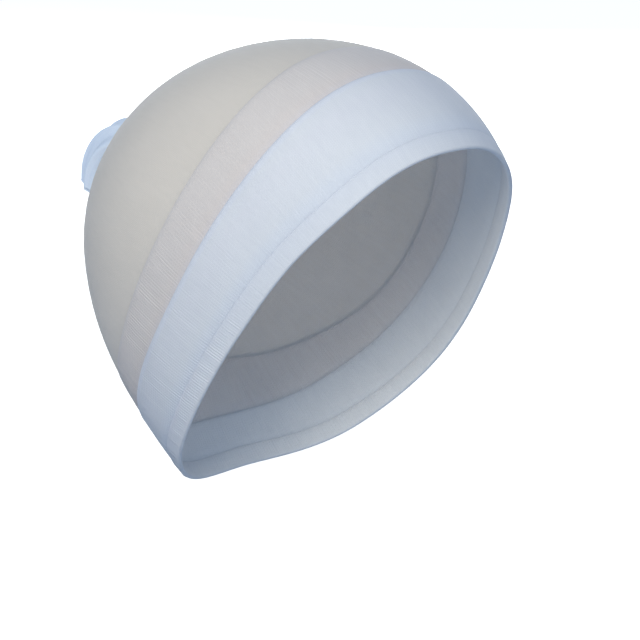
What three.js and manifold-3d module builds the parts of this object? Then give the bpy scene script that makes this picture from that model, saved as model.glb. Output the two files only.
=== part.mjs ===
// Wig cap: a stocking cap of fine nylon knit, in the form it takes on a head of ordinary size.
// Lengths are millimetres and angles degrees. The head faces -Y and +Z is up.
// The origin is the top of the head, where the inside of the crown rests.
import * as THREE from "three";
import Module from "manifold-3d";

// Head form that stretches the knit, measured from the middle of the head
const headHalfWidth = 75.2;
const headFrontDepth = 92.2;
const headBackDepth = 99.9;
const headUp = 90.7;
const headDown = 132.5;
const headRoundness = 2.15; // power of the rounded form, where 2 is an ellipsoid
const headRearSpread = 0.19; // share by which the half width grows towards the back
const napeHollow = 30.6; // how far the skin dips in under the back of the head
const napeAngle = -57; // middle of the hollow, above the rear horizontal
const napeSpread = 42; // angle from its middle at which the hollow has died away

// Knit, each length taken along a wale from the knot towards the rim
const knotAngle = 18; // place of the knot, above the rear horizontal
const crownLength = 130;
const shadowWidth = 26;
const bandWidth = 44; // doubled welt and its hem together
const hemWidth = 8.5;
const seamGap = 0.3; // clearance between neighbouring pieces

// Walls of the knit
const crownWall = 1;
const shadowWall = 1.2;
const weltWall = 1.8;
const hemWall = 1.9;
const hemDip = 0.3; // dip of the hem between its stitch line and its folded edge
const edgeRound = 0.3; // easing of each cut or folded edge, as a share of its wall

// Gathered neck at the knot
const gatherReach = 38; // distance from the knot at which the pleats have died away
const neckRadius = 5.2;
const neckHeight = 5.2; // from the crown up to the seat of the thread
const waistShare = 0.85; // waist under the thread, as a share of neckRadius
const collarShare = 1.1; // collar beyond the thread, as a share of neckRadius
const collarHeight = 1.8;
const pleatCount = 16;
const pleatDepth = 1.1;

// Thread that ties the neck
const threadRadius = 0.8;
const threadClearance = 0.3;

// Frill beyond the thread, the cut end of the tube
const frillLength = 31;
const frillRadius = 15;
const frillSagAngle = -46; // direction from its root to its lip, above the rear horizontal
const lipAngle = -85; // direction that the mouth of the frill faces, likewise
const frillWall = 1.4;
const ruffleDepth = 3.4;
const ruffleCurl = 0.6; // how far each wave also leans back, as a share of its height
const frillHollowStart = 0.25; // where the inside of the frill begins, as a share of its length

// Fineness of the facets
const waleCount = 64;
const meridianStep = 5;
const meridianEnd = 170;
const threadFacets = 6;
const foldFacets = 5;

// Lengths of the knit round one side, from the middle of the forehead to the nape.
// Each is a share of crownLength, shadowWidth or bandWidth. Both sides are alike.
const knitStations = [
  { around: 0, crown: 1.0, shadow: 1.0, band: 0.99 },
  { around: 30, crown: 1.01, shadow: 0.89, band: 0.92 },
  { around: 60, crown: 1.0, shadow: 0.75, band: 0.78 },
  { around: 90, crown: 0.97, shadow: 0.67, band: 0.71 },
  { around: 120, crown: 0.91, shadow: 0.6, band: 0.69 },
  { around: 150, crown: 0.79, shadow: 0.78, band: 0.61 },
  { around: 180, crown: 0.7, shadow: 0.96, band: 0.53 },
];

// Outside of the gathered neck, from the smooth crown in to the seat of the thread.
// out goes from 1 at gatherReach to 0 at neckRadius, up is a share of neckHeight
// and fold of pleatDepth.
const neckStations = [
  { out: 0.7, up: 0, fold: 0.15 },
  { out: 0.42, up: 0.02, fold: 0.4 },
  { out: 0.22, up: 0.07, fold: 0.75 },
  { out: 0.1, up: 0.18, fold: 1 },
  { out: 0.03, up: 0.38, fold: 1 },
  { out: 0, up: 0.66, fold: 0.8 },
];
const waistFold = 0.2; // depth of the pleats under the thread, as a share of pleatDepth
const collarFold = 0.6; // the same at the collar

// Outside of the frill from its root to its lip.
// along is a share of its length, out goes from 0 at its root to 1 at its full radius
// and ruffle is a share of ruffleDepth.
const frillStations = [
  { along: 0, out: 0, ruffle: 0.05 },
  { along: 0.14, out: 0.1, ruffle: 0.12 },
  { along: 0.3, out: 0.36, ruffle: 0.3 },
  { along: 0.48, out: 0.68, ruffle: 0.55 },
  { along: 0.68, out: 0.91, ruffle: 0.8 },
  { along: 0.86, out: 1, ruffle: 0.95 },
  { along: 1, out: 0.96, ruffle: 1 },
];

// Layers of the frill, one inside the other. start and reach are shares of its length,
// root is a share of its radius at the neck and spread of frillRadius.
const frillLayers = [
  { start: 0, reach: 1, root: 1, spread: 1, folds: 9 },
  { start: 0.08, reach: 0.85, root: 0.6, spread: 0.55, folds: 5 },
];

const colours = {
  hem: "#d3dce8",
  welt: "#d6dfea",
  shadow: "#c9cac9",
  crown: "#bdbab3",
  thread: "#e4e9ef",
  frill: "#bcd0ec",
};

const headMiddle = new THREE.Vector3(0, 0, -headUp);
const wearersRight = new THREE.Vector3(-1, 0, 0);
const knotDirection = rearDirection(knotAngle);
const overTheTop = new THREE.Vector3().crossVectors(knotDirection, wearersRight);
const napeDirection = rearDirection(napeAngle);

// Unit vector in the middle plane, at an angle above the rear horizontal.
function rearDirection(angle) {
  const radians = THREE.MathUtils.degToRad(angle);
  return new THREE.Vector3(0, Math.cos(radians), Math.sin(radians));
}

// Distance from the middle of the head to its skin in the direction of a unit vector.
function headReach(direction) {
  const halfWidth = headHalfWidth * (1 + headRearSpread * direction.y);
  const depth = direction.y < 0 ? headFrontDepth : headBackDepth;
  const height = direction.z > 0 ? headUp : headDown;
  const powers =
    Math.abs(direction.x / halfWidth) ** headRoundness +
    Math.abs(direction.y / depth) ** headRoundness +
    Math.abs(direction.z / height) ** headRoundness;
  const fromNape = THREE.MathUtils.radToDeg(direction.angleTo(napeDirection));
  const dip = napeHollow * Math.exp(-((fromNape / napeSpread) ** 2));
  return powers ** (-1 / headRoundness) - dip;
}

// How far a point lies outside the skin, along the line from the middle of the head.
function heightOverSkin(point) {
  const ray = point.clone().sub(headMiddle);
  const distance = ray.length();
  return distance - headReach(ray.divideScalar(distance));
}

// Outward unit normal of the skin, from the slope of the height over it.
function skinNormal(point) {
  const nudge = 0.05;
  const slope = (axis) => {
    const step = new THREE.Vector3().setComponent(axis, nudge);
    return heightOverSkin(point.clone().add(step)) - heightOverSkin(point.clone().sub(step));
  };
  return new THREE.Vector3(slope(0), slope(1), slope(2)).normalize();
}

// Point of the skin at a polar angle from the knot and an angle around it from the forehead.
function skinPoint(polar, around) {
  const tilt = THREE.MathUtils.degToRad(polar);
  const turn = THREE.MathUtils.degToRad(around);
  const direction = knotDirection
    .clone()
    .multiplyScalar(Math.cos(tilt))
    .addScaledVector(overTheTop, Math.sin(tilt) * Math.cos(turn))
    .addScaledVector(wearersRight, Math.sin(tilt) * Math.sin(turn));
  return direction.multiplyScalar(headReach(direction)).add(headMiddle);
}

// The knit lengths of all stations as one closed curve round the head: x crown, y shadow, z band.
const bothSides = [...knitStations, ...knitStations.slice(1, -1).reverse()];
const knitLengths = new THREE.CatmullRomCurve3(
  bothSides.map((row) => new THREE.Vector3(row.crown, row.shadow, row.band)),
  true,
  "catmullrom",
);

// One wale, the column of stitches that runs from the knot over the head to the rim.
class Wale {
  constructor(around) {
    const points = [];
    for (let polar = 0; polar <= meridianEnd; polar += meridianStep) {
      points.push(skinPoint(polar, around));
    }
    this.course = new THREE.CatmullRomCurve3(points);
    this.fullLength = this.course.getLength();
    this.turn = THREE.MathUtils.degToRad(around);
    const lengths = knitLengths.getPoint(around / 360);
    this.crownEnd = crownLength * lengths.x;
    this.shadowEnd = this.crownEnd + shadowWidth * lengths.y;
    this.rim = this.shadowEnd + bandWidth * lengths.z;
    this.weltEnd = this.rim - hemWidth;
  }

  // Point at a distance from the knot, lifted off the skin.
  at({ x: along, y: lift }) {
    const point = this.course.getPointAt(along / this.fullLength);
    return point.addScaledVector(skinNormal(point), lift);
  }
}

const neckTop = crownWall + neckHeight + 2 * (threadRadius + threadClearance) + collarHeight;
const neckLine = skinNormal(skinPoint(0, 0));
const wales = Array.from({ length: waleCount }, (_, i) => new Wale((360 * i) / waleCount));

// Evenly spaced points of a section from one distance along the wale to another, at one lift.
function run(from, to, steps, liftAt) {
  return Array.from({ length: steps + 1 }, (_, i) => {
    const share = i / steps;
    return new THREE.Vector2(THREE.MathUtils.lerp(from, to, share), liftAt(share));
  });
}

// Geometry of rows of points that go round in step. Rows close on each other as a ring,
// or on a point at each end.
function rowsGeometry(rows, firstPoint, lastPoint) {
  const columns = rows[0].length;
  const points = rows.flat();
  const faces = [];
  const ring = !firstPoint;
  const bands = ring ? rows.length : rows.length - 1;
  for (let row = 0; row < bands; row += 1) {
    for (let column = 0; column < columns; column += 1) {
      const next = (column + 1) % columns;
      const lower = row * columns;
      const upper = ((row + 1) % rows.length) * columns;
      faces.push(lower + column, upper + next, lower + next);
      faces.push(lower + column, upper + column, upper + next);
    }
  }
  if (!ring) {
    const first = points.push(firstPoint) - 1;
    const last = points.push(lastPoint) - 1;
    const top = (rows.length - 1) * columns;
    for (let column = 0; column < columns; column += 1) {
      const next = (column + 1) % columns;
      faces.push(first, column, next);
      faces.push(last, top + next, top + column);
    }
  }
  const geometry = new THREE.BufferGeometry().setFromPoints(points);
  geometry.setIndex(faces);
  geometry.computeVertexNormals();
  return geometry;
}

// Band swept round the knot, from its section on each wale.
function bandGeometry(sectionOf, course = wales) {
  const sections = course.map((wale) => sectionOf(wale).map((point) => wale.at(point)));
  const rows = sections[0].map((_, k) => sections.map((section) => section[k]));
  return rowsGeometry(rows);
}

// Section of a flat band of knit, its outer corners eased.
function flatSection(from, to, wall, steps) {
  const ease = wall * edgeRound;
  return [
    ...run(from, to, steps, () => 0),
    new THREE.Vector2(to, wall - ease),
    ...run(to - ease, from + ease, steps, () => wall),
    new THREE.Vector2(from, wall - ease),
  ];
}

function shadowBand() {
  const steps = 3;
  return bandGeometry((wale) =>
    flatSection(wale.crownEnd + seamGap / 2, wale.shadowEnd - seamGap / 2, shadowWall, steps),
  );
}

function weltBand() {
  const steps = 4;
  return bandGeometry((wale) =>
    flatSection(wale.shadowEnd + seamGap / 2, wale.weltEnd - seamGap / 2, weltWall, steps),
  );
}

// The hem is the folded edge of the welt: its outside dips between the stitch line and the fold,
// and the fold is round.
function rimHem() {
  const steps = 2;
  const ease = hemWall * edgeRound;
  const noseRadius = hemWall / 2;
  return bandGeometry((wale) => {
    const from = wale.weltEnd + seamGap / 2;
    const noseMiddle = wale.rim - noseRadius;
    const nose = [-45, 0, 45].map((angle) => {
      const radians = THREE.MathUtils.degToRad(angle);
      return new THREE.Vector2(
        noseMiddle + noseRadius * Math.cos(radians),
        noseRadius * (1 + Math.sin(radians)),
      );
    });
    return [
      ...run(from, noseMiddle, steps, () => 0),
      ...nose,
      ...run(noseMiddle, from + ease, steps, (s) => hemWall - hemDip * Math.sin(Math.PI * s)),
      new THREE.Vector2(from, hemWall - ease),
    ];
  });
}

// Profile of the gathered neck, as points of distance from the knot and lift.
// Each has its fold depth, and the normal along which the pleats stand out.
function neckProfile() {
  const seat = 2 * (threadRadius + threadClearance);
  const waist = neckRadius * waistShare;
  const tieStart = crownWall + neckHeight;
  const rows = neckStations.map((row) => ({
    point: new THREE.Vector2(
      THREE.MathUtils.lerp(neckRadius, gatherReach, row.out),
      crownWall + neckHeight * row.up,
    ),
    fold: pleatDepth * row.fold,
  }));
  rows.push({ point: new THREE.Vector2(waist, tieStart), fold: pleatDepth * waistFold });
  rows.push({ point: new THREE.Vector2(waist, tieStart + seat), fold: pleatDepth * waistFold });
  rows.push({
    point: new THREE.Vector2(neckRadius * collarShare, neckTop),
    fold: pleatDepth * collarFold,
  });
  rows.forEach((row, i) => {
    const before = rows[Math.max(i - 1, 0)].point;
    const after = rows[Math.min(i + 1, rows.length - 1)].point;
    row.normal = new THREE.Vector2(after.y - before.y, before.x - after.x).normalize();
  });
  return rows;
}

// The crown is one skin: its inside from the knot to the seam, its outside back to the neck,
// and the solid bundle of pleats up to the top of the collar.
function crown() {
  const steps = 9;
  const ease = crownWall * edgeRound;
  const neck = neckProfile();
  const sections = wales.map((wale) => {
    const edge = wale.crownEnd - seamGap / 2;
    const wave = Math.cos(pleatCount * wale.turn) / 2;
    const section = [
      ...run(2 * neckRadius, edge, steps, () => 0),
      new THREE.Vector2(edge, crownWall - ease),
      ...run(edge - ease, gatherReach, steps, () => crownWall),
      ...neck.map((row) => row.point.clone().addScaledVector(row.normal, row.fold * wave)),
    ];
    return section.map((point) => wale.at(point));
  });
  const rows = sections[0].map((_, k) => sections.map((section) => section[k]));
  const knot = wales[0].at(new THREE.Vector2(0, 0));
  const top = wales[0].at(new THREE.Vector2(0, neckTop));
  return rowsGeometry(rows, knot, top);
}

// The thread lies in the waist of the neck.
function toeTie() {
  const waist = neckRadius * waistShare + (pleatDepth * waistFold) / 2;
  const middle = new THREE.Vector2(
    waist + threadClearance + threadRadius,
    crownWall + neckHeight + threadClearance + threadRadius,
  );
  const section = Array.from({ length: threadFacets }, (_, i) => {
    const turn = (2 * Math.PI * i) / threadFacets;
    return new THREE.Vector2(Math.cos(turn), Math.sin(turn)).multiplyScalar(threadRadius).add(middle);
  });
  return bandGeometry(() => section, wales.filter((_, i) => i % 2 === 0));
}

// One layer of the frill: a ruffled trumpet closed at its root. Its middle line leaves along the
// line of the neck and sinks steadily, and its rings turn with it from the neck's line to the lip's.
function frillLayer({ start, reach, root, spread, folds }) {
  const columns = folds * foldFacets;
  const from = wales[0].at(new THREE.Vector2(0, neckTop + seamGap));
  const neckAngle = THREE.MathUtils.radToDeg(Math.atan2(neckLine.z, neckLine.y));
  const rootRadius = neckRadius * collarShare * root;
  const middleAt = (along) => {
    const step = THREE.MathUtils.lerp(start, reach, along);
    const sag = rearDirection(THREE.MathUtils.lerp(neckAngle, frillSagAngle, step));
    return from.clone().addScaledVector(sag, frillLength * step);
  };
  const ringAt = (row, inset) => {
    const centre = middleAt(row.along);
    const step = THREE.MathUtils.lerp(start, reach, row.along);
    const line = rearDirection(THREE.MathUtils.lerp(neckAngle, lipAngle, step));
    const upwards = new THREE.Vector3().crossVectors(line, wearersRight);
    return Array.from({ length: columns }, (_, i) => {
      const turn = (2 * Math.PI * i) / columns;
      const wave = (ruffleDepth * spread * row.ruffle * Math.cos(folds * turn)) / 2;
      const radius = THREE.MathUtils.lerp(rootRadius, frillRadius * spread, row.out) + wave;
      const outwards = upwards
        .clone()
        .multiplyScalar(Math.cos(turn))
        .addScaledVector(wearersRight, Math.sin(turn));
      return centre
        .clone()
        .addScaledVector(outwards, radius - inset)
        .addScaledVector(line, -ruffleCurl * wave);
    });
  };
  const outside = frillStations.map((row) => ringAt(row, 0));
  const hollow = frillStations.filter((row) => row.along > frillHollowStart);
  const inside = hollow.reverse().map((row) => ringAt(row, frillWall));
  return rowsGeometry([...outside, ...inside], middleAt(0), middleAt(frillHollowStart));
}

const wasm = await Module();
wasm.setup();

// Solid of a closed geometry whose vertices are shared.
function solidOf(geometry) {
  const vertProperties = geometry.getAttribute("position").array;
  const triVerts = new Uint32Array(geometry.index.array);
  return new wasm.Manifold(new wasm.Mesh({ numProp: 3, vertProperties, triVerts }));
}

// The layers of the frill share their root, so they are joined there into one body.
function toeFrill() {
  const layers = frillLayers.map((layer) => solidOf(frillLayer(layer)));
  const joined = layers.reduce((sum, layer) => sum.add(layer)).getMesh();
  const geometry = new THREE.BufferGeometry();
  geometry.setAttribute("position", new THREE.BufferAttribute(joined.vertProperties, 3));
  geometry.setIndex(new THREE.BufferAttribute(joined.triVerts, 1));
  geometry.computeVertexNormals();
  return geometry;
}

const pieces = [
  { name: "rim_hem", geometry: rimHem(), colour: colours.hem, roughness: 0.8 },
  { name: "welt_band", geometry: weltBand(), colour: colours.welt, roughness: 0.8 },
  { name: "shadow_band", geometry: shadowBand(), colour: colours.shadow, roughness: 0.7 },
  { name: "crown", geometry: crown(), colour: colours.crown, roughness: 0.65 },
  { name: "toe_tie", geometry: toeTie(), colour: colours.thread, roughness: 0.6 },
  { name: "toe_frill", geometry: toeFrill(), colour: colours.frill, roughness: 0.75 },
];

const wigCap = new THREE.Group();
pieces.forEach(({ name, geometry, colour, roughness }) => {
  const material = new THREE.MeshStandardMaterial({ color: colour, roughness, metalness: 0 });
  const mesh = new THREE.Mesh(geometry, material);
  mesh.name = name;
  wigCap.add(mesh);
});

export default wigCap;
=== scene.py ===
# %% [markdown]
# # A stocking wig cap
# A wig cap is a short stocking: a tube of nylon knit on a round machine with 400 needles. One end is
# turned in double, which makes the firm band at the rim. The other end is gathered, tied and left as
# a small frill. Worn, the knit stretches smooth, so almost every surface here is one rounded form,
# lifted by the thickness of the knit and marked by its columns of stitches.
#
# The solid model gives the frame: each cloth piece below takes the place of one of its nodes.

import bpy
import numpy as np
from mathutils import Matrix, Vector


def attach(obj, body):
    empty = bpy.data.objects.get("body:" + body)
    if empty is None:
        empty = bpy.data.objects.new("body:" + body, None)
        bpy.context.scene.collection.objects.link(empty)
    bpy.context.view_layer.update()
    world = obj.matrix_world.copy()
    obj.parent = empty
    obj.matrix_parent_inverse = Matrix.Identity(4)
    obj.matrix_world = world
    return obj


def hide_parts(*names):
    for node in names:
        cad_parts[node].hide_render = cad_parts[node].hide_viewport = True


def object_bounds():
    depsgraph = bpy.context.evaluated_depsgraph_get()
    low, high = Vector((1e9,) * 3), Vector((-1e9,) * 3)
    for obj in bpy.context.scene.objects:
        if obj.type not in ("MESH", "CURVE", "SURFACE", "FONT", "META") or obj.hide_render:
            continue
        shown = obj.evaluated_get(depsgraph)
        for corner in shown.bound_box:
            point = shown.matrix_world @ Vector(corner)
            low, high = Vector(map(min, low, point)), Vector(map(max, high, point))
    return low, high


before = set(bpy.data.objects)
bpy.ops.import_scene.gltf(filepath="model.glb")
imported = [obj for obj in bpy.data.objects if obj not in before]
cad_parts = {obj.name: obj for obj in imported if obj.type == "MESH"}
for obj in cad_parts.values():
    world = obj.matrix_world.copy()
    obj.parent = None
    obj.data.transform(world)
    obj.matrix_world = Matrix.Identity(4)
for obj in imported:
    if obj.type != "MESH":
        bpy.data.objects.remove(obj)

MM = 0.001  # lengths below are millimetres, and meshes are written in metres
cad_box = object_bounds()
print("nodes of the frame:", sorted(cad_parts))

# %% [markdown]
# ## The worn form
# The cap has no shape of its own: it has the shape that it is stretched to. A rounded box between an
# ellipsoid and a cube, wider at the back and dipping in at the nape, is close to that, and one
# formula gives its skin in every direction from its middle. That is better here than a sculpted
# mesh, because the knit can then be followed exactly, stitch by stitch.

# %% Worn form
HALF_WIDTH = 75.2
FRONT_DEPTH = 92.2
BACK_DEPTH = 99.9
TOP_HEIGHT = 90.7  # from the middle of the form up
LOW_HEIGHT = 132.5  # and down
ROUNDNESS = 2.15  # 2 is an ellipsoid
REAR_SPREAD = 0.19  # share by which the half width grows towards the back
NAPE_HOLLOW = 30.6
NAPE_ANGLE = -57  # degrees above the rear horizontal
NAPE_SPREAD = 42  # degrees
KNOT_ANGLE = 18  # degrees above the rear horizontal


def rear_direction(angle):
    """Unit vector in the middle plane: (0, cosine, sine) of an angle above the rear horizontal."""
    angle = np.radians(angle)
    return np.stack([np.zeros_like(angle), np.cos(angle), np.sin(angle)], axis=-1)


FORM_MIDDLE = np.array([0, 0, -TOP_HEIGHT])
CAP_RIGHT = np.array([-1.0, 0, 0])  # as worn
KNOT_WAY = rear_direction(KNOT_ANGLE)
OVER_THE_TOP = np.cross(KNOT_WAY, CAP_RIGHT)


def form_reach(way):
    """Distance from the middle of the form to its skin along unit vectors.

    The rounded form is (|x/a|^p + |y/b|^p + |z/c|^p)^(-1/p), and a bell round the nape's direction is
    taken off it.
    """
    x, y, z = np.moveaxis(way, -1, 0)
    half_width = HALF_WIDTH * (1 + REAR_SPREAD * y)
    depth = np.where(y < 0, FRONT_DEPTH, BACK_DEPTH)
    height = np.where(z > 0, TOP_HEIGHT, LOW_HEIGHT)
    power = ROUNDNESS
    total = abs(x / half_width) ** power + abs(y / depth) ** power + abs(z / height) ** power
    from_nape = np.degrees(np.arccos(np.clip(way @ rear_direction(NAPE_ANGLE), -1, 1)))
    return total ** (-1 / power) - NAPE_HOLLOW * np.exp(-((from_nape / NAPE_SPREAD) ** 2))


def height_over_skin(points):
    """How far points lie outside the skin, along the line from the middle of the form."""
    ray = points - FORM_MIDDLE
    distance = np.linalg.norm(ray, axis=-1)
    return distance - form_reach(ray / distance[..., None])


def skin_normal(points, nudge=0.05):
    """Outward unit normal: the slope of the height over the skin, from differences along x, y and z."""
    steps = nudge * np.eye(3)
    slope = np.stack([height_over_skin(points + s) - height_over_skin(points - s) for s in steps], axis=-1)
    return slope / np.linalg.norm(slope, axis=-1, keepdims=True)


def skin_point(polar, around):
    """Skin at polar degrees from the knot and around degrees round it from the middle of the front."""
    tilt, turn = np.radians(polar)[..., None], np.radians(around)[..., None]
    ring = np.cos(turn) * OVER_THE_TOP + np.sin(turn) * CAP_RIGHT
    way = np.cos(tilt) * KNOT_WAY + np.sin(tilt) * ring
    return way * form_reach(way)[..., None] + FORM_MIDDLE


print("half width at the sides: %.1f mm" % skin_point(np.array(80.0), np.array(90.0))[0])

# %% [markdown]
# ## The course of the knit
# A wale is a column of stitches. On the tied stocking every wale starts at the knot and runs over the
# form to the rim, so a place on the cap has two natural coordinates: how far along its wale, and
# which wale. Where the knit changes is a short table of lengths, read as a smooth closed curve.

# %% Wales and lengths
WALES = 400  # needles of the machine
CROWN_LENGTH = 130
SHADOW_WIDTH = 26
BAND_WIDTH = 44
HEM_WIDTH = 8.5
STATION_STEP = 30  # degrees round from one share below to the next
CROWN_SHARES = [1.0, 1.01, 1.0, 0.97, 0.91, 0.79, 0.7]  # from the front to the nape
SHADOW_SHARES = [1.0, 0.89, 0.75, 0.67, 0.6, 0.78, 0.96]
BAND_SHARES = [0.99, 0.92, 0.78, 0.71, 0.69, 0.61, 0.53]
FARTHEST_POLAR = 170  # degrees from the knot, past the rim all round


def curve_through(values, at, closed=False):
    """Cubic through values at whole numbers, its slope at each the mean step of its neighbours.

    Between p1 and p2 it is (2 p1 + (p2 - p0) t + (2 p0 - 5 p1 + 4 p2 - p3) t^2
    + (3 p1 - p0 - 3 p2 + p3) t^3) / 2.
    """
    values = np.asarray(values, float)
    count = len(values)
    whole = np.floor(at).astype(int)
    if not closed:
        whole = np.clip(whole, 0, count - 2)
    t = at - whole
    t = t.reshape(t.shape + (1,) * (values.ndim - 1))
    index = [whole + k for k in (-1, 0, 1, 2)]
    index = [i % count for i in index] if closed else [np.clip(i, 0, count - 1) for i in index]
    p0, p1, p2, p3 = (values[i] for i in index)
    square = 2 * p0 - 5 * p1 + 4 * p2 - p3
    cube = 3 * p1 - p0 - 3 * p2 + p3
    return (2 * p1 + (p2 - p0) * t + square * t**2 + cube * t**3) / 2


def round_the_form(shares, around):
    """A share at any angle around, from the shares on one side, mirrored on the other."""
    return curve_through(shares + shares[-2:0:-1], np.asarray(around, float) / STATION_STEP, closed=True)


def wale_course(along, around):
    """Skin and its normal at a length along a wale from the knot.

    Each wale's length is summed in steps of one degree, and the polar angle is read back from it.
    """
    polar = np.arange(FARTHEST_POLAR + 1.0)[:, None]
    course = skin_point(polar, around[None, :])
    run = np.zeros(course.shape[:2])
    run[1:] = np.cumsum(np.linalg.norm(np.diff(course, axis=0), axis=-1), axis=0)
    low = np.clip((run[:, None, :] <= along[None]).sum(0) - 1, 0, len(run) - 2)
    start = np.take_along_axis(run, low, 0)
    stop = np.take_along_axis(run, low + 1, 0)
    degrees = low + (along - start) / (stop - start)
    skin = skin_point(degrees, np.broadcast_to(around, degrees.shape))
    return skin, skin_normal(skin)


def wale_point(along, around, lift):
    """Point at a length along a wale, lifted off the skin along its normal."""
    skin, normal = wale_course(along, around)
    return skin + normal * lift[..., None]


def seams(around):
    """Lengths from the knot at which the crown, the shadow band, the welt and the hem end."""
    crown = CROWN_LENGTH * round_the_form(CROWN_SHARES, around)
    shadow = crown + SHADOW_WIDTH * round_the_form(SHADOW_SHARES, around)
    rim = shadow + BAND_WIDTH * round_the_form(BAND_SHARES, around)
    return crown, shadow, rim - HEM_WIDTH, rim


print("rim from the knot, front and nape: %.0f and %.0f mm" % tuple(seams(np.array([0.0, 180.0]))[3]))

# %% [markdown]
# ## From a grid of points to a piece
# Every cloth piece is a grid: its columns go round the form and its rows go up the outside of the
# cloth and back down the inside, so it is a closed thin shell. The grid is handed to Blender as whole
# arrays. The UV map holds the wale's number and the course's number, so that in a material one
# stitch is one unit square, wherever it lies.

# %% Grid mesh
COURSE_PITCH = 1.05  # height of one stitch along the wale, in mm
INSIDE_LIGHT_DEPTH = 0.5  # how far the inside's painted light, a brighter white, reaches into a wall, in mm


def grid_mesh(name, points, turns, runs, shares, ends=None):
    """Mesh object of a grid of points (rows, columns, 3) that goes round in its columns.

    Its rows close on each other, or on two end points, each in a fan of triangles. turns is U at each
    column and one past the last, and runs is V at each point. A second map holds shares, the way
    across the piece from 0 to 1 at each row. Faces are turned outwards by the sign of the volume.
    """
    rows, columns = points.shape[:2]
    bands = rows if ends is None else rows - 1
    row, column = np.divmod(np.arange(bands * columns), columns)
    upper, right = (row + 1) % rows, (column + 1) % columns
    low, high = row * columns, upper * columns
    corners = np.stack([low + column, low + right, high + right, high + column], 1)
    u = np.stack([turns[column], turns[column + 1], turns[column + 1], turns[column]], 1)
    v = np.stack([runs[row, column], runs[row, right], runs[upper, right], runs[upper, column]], 1)
    across = np.stack([shares[row], shares[row], shares[upper], shares[upper]], 1).ravel()
    places = points.reshape(-1, 3)
    sizes = np.full(len(corners), 4)
    loops, uvs = corners.ravel(), np.stack([u.ravel(), v.ravel()], 1)
    if ends is not None:
        places = np.concatenate([places, ends])
        here = (np.arange(columns), turns[:-1])
        after = ((here[0] + 1) % columns, turns[1:])
        middle = (turns[:-1] + turns[1:]) / 2
        fans = [(0, after, here), (rows - 1, here, after)]
        for end, (level, (first, first_turn), (second, second_turn)) in enumerate(fans):
            tip = np.full(columns, rows * columns + end)
            fan = np.stack([level * columns + first, level * columns + second, tip], 1)
            run = runs[level]
            fan_uv = np.stack([first_turn, run[first], second_turn, run[second], middle, run[here[0]]], 1)
            loops = np.concatenate([loops, fan.ravel()])
            uvs = np.concatenate([uvs, fan_uv.reshape(-1, 2)])
            across = np.concatenate([across, np.full(3 * columns, shares[level])])
            sizes = np.concatenate([sizes, np.full(columns, 3)])
    a, b, c, d = (places[corners[:, k]] for k in range(4))
    volume = np.einsum("ij,ij->", a, np.cross(b, c)) + np.einsum("ij,ij->", a, np.cross(c, d))
    starts = np.concatenate([[0], np.cumsum(sizes)[:-1]])
    if volume < 0:
        face = np.repeat(np.arange(len(sizes)), sizes)
        flipped = 2 * starts[face] + sizes[face] - 1 - np.arange(len(loops))
        loops, uvs, across = loops[flipped], uvs[flipped], across[flipped]
    mesh = bpy.data.meshes.new(name)
    mesh.vertices.add(len(places))
    mesh.vertices.foreach_set("co", (places * MM).astype(np.float32).ravel())
    mesh.loops.add(len(loops))
    mesh.loops.foreach_set("vertex_index", loops.astype(np.int32))
    mesh.polygons.add(len(sizes))
    mesh.polygons.foreach_set("loop_start", starts.astype(np.int32))
    mesh.polygons.foreach_set("use_smooth", np.ones(len(sizes), bool))
    mesh.uv_layers.new(name="stitches").data.foreach_set("uv", uvs.astype(np.float32).ravel())
    spans = np.stack([uvs[:, 0] / WALES, across], 1)
    mesh.uv_layers.new(name="span").data.foreach_set("uv", spans.astype(np.float32).ravel())
    inner = np.clip(1 - height_over_skin(places) / INSIDE_LIGHT_DEPTH, 0, 1)
    mesh.attributes.new("inner", "FLOAT", "POINT").data.foreach_set("value", inner.astype(np.float32))
    mesh.update(calc_edges=True)
    mesh.validate()
    piece = bpy.data.objects.new(name, mesh)
    bpy.context.collection.objects.link(piece)
    print(f"{name}: {len(places)} points, {(sizes - 2).sum()} triangles")
    return piece


# %% [markdown]
# ## Shader maths
# A finish is easier to read as a formula than as boxes and links. A Wire stands for one output of a
# node, and a sum on wires adds the Math nodes that work it out.

# %% Wires
class Wire:
    """An output of a shader node that can stand in a formula, such as 1 - mask * 0.5."""

    def __init__(self, tree, socket=None):
        self.tree = tree
        self.socket = socket

    def node(self, kind, settings=None, inputs=None, output=0):
        """Adds a node of a kind, makes its settings, then fills its inputs with values or wires."""
        node = self.tree.nodes.new("ShaderNode" + kind)
        settings = dict(settings or {})
        for position, colour in settings.pop("stops", []):
            ramp = node.color_ramp.elements
            stop = ramp[0] if position == 0 else ramp[-1] if position == 1 else ramp.new(position)
            stop.color = (*colour, 1)
        for name, value in settings.items():
            setattr(node, name, value)
        for name, value in (inputs or {}).items():
            if isinstance(value, Wire):
                self.tree.links.new(value.socket, node.inputs[name])
            else:
                node.inputs[name].default_value = value
        return Wire(self.tree, node.outputs[output] if len(node.outputs) else None)

    def math(self, operation, *values):
        return self.node("Math", {"operation": operation}, dict(enumerate(values)))

    def __add__(self, other):
        return self.math("ADD", self, other)

    def __sub__(self, other):
        return self.math("SUBTRACT", self, other)

    def __rsub__(self, other):
        return self.math("SUBTRACT", other, self)

    def __mul__(self, other):
        return self.math("MULTIPLY", self, other)

    def __truediv__(self, other):
        return self.math("DIVIDE", self, other)

    def __pow__(self, other):
        return self.math("POWER", self, other)

    def __abs__(self):
        return self.math("ABSOLUTE", self)

    def fraction(self):
        return self.math("FRACT", self)

    def sine(self):
        return self.math("SINE", self)

    def clamped(self):
        return self.node("Clamp", {}, {0: self})

    __radd__ = __add__
    __rmul__ = __mul__


def new_finish(name):
    """An empty material, and a wire to start its nodes from."""
    material = bpy.data.materials.new(name)
    material.use_nodes = True
    material.node_tree.nodes.clear()
    return material, Wire(material.node_tree)


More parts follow.
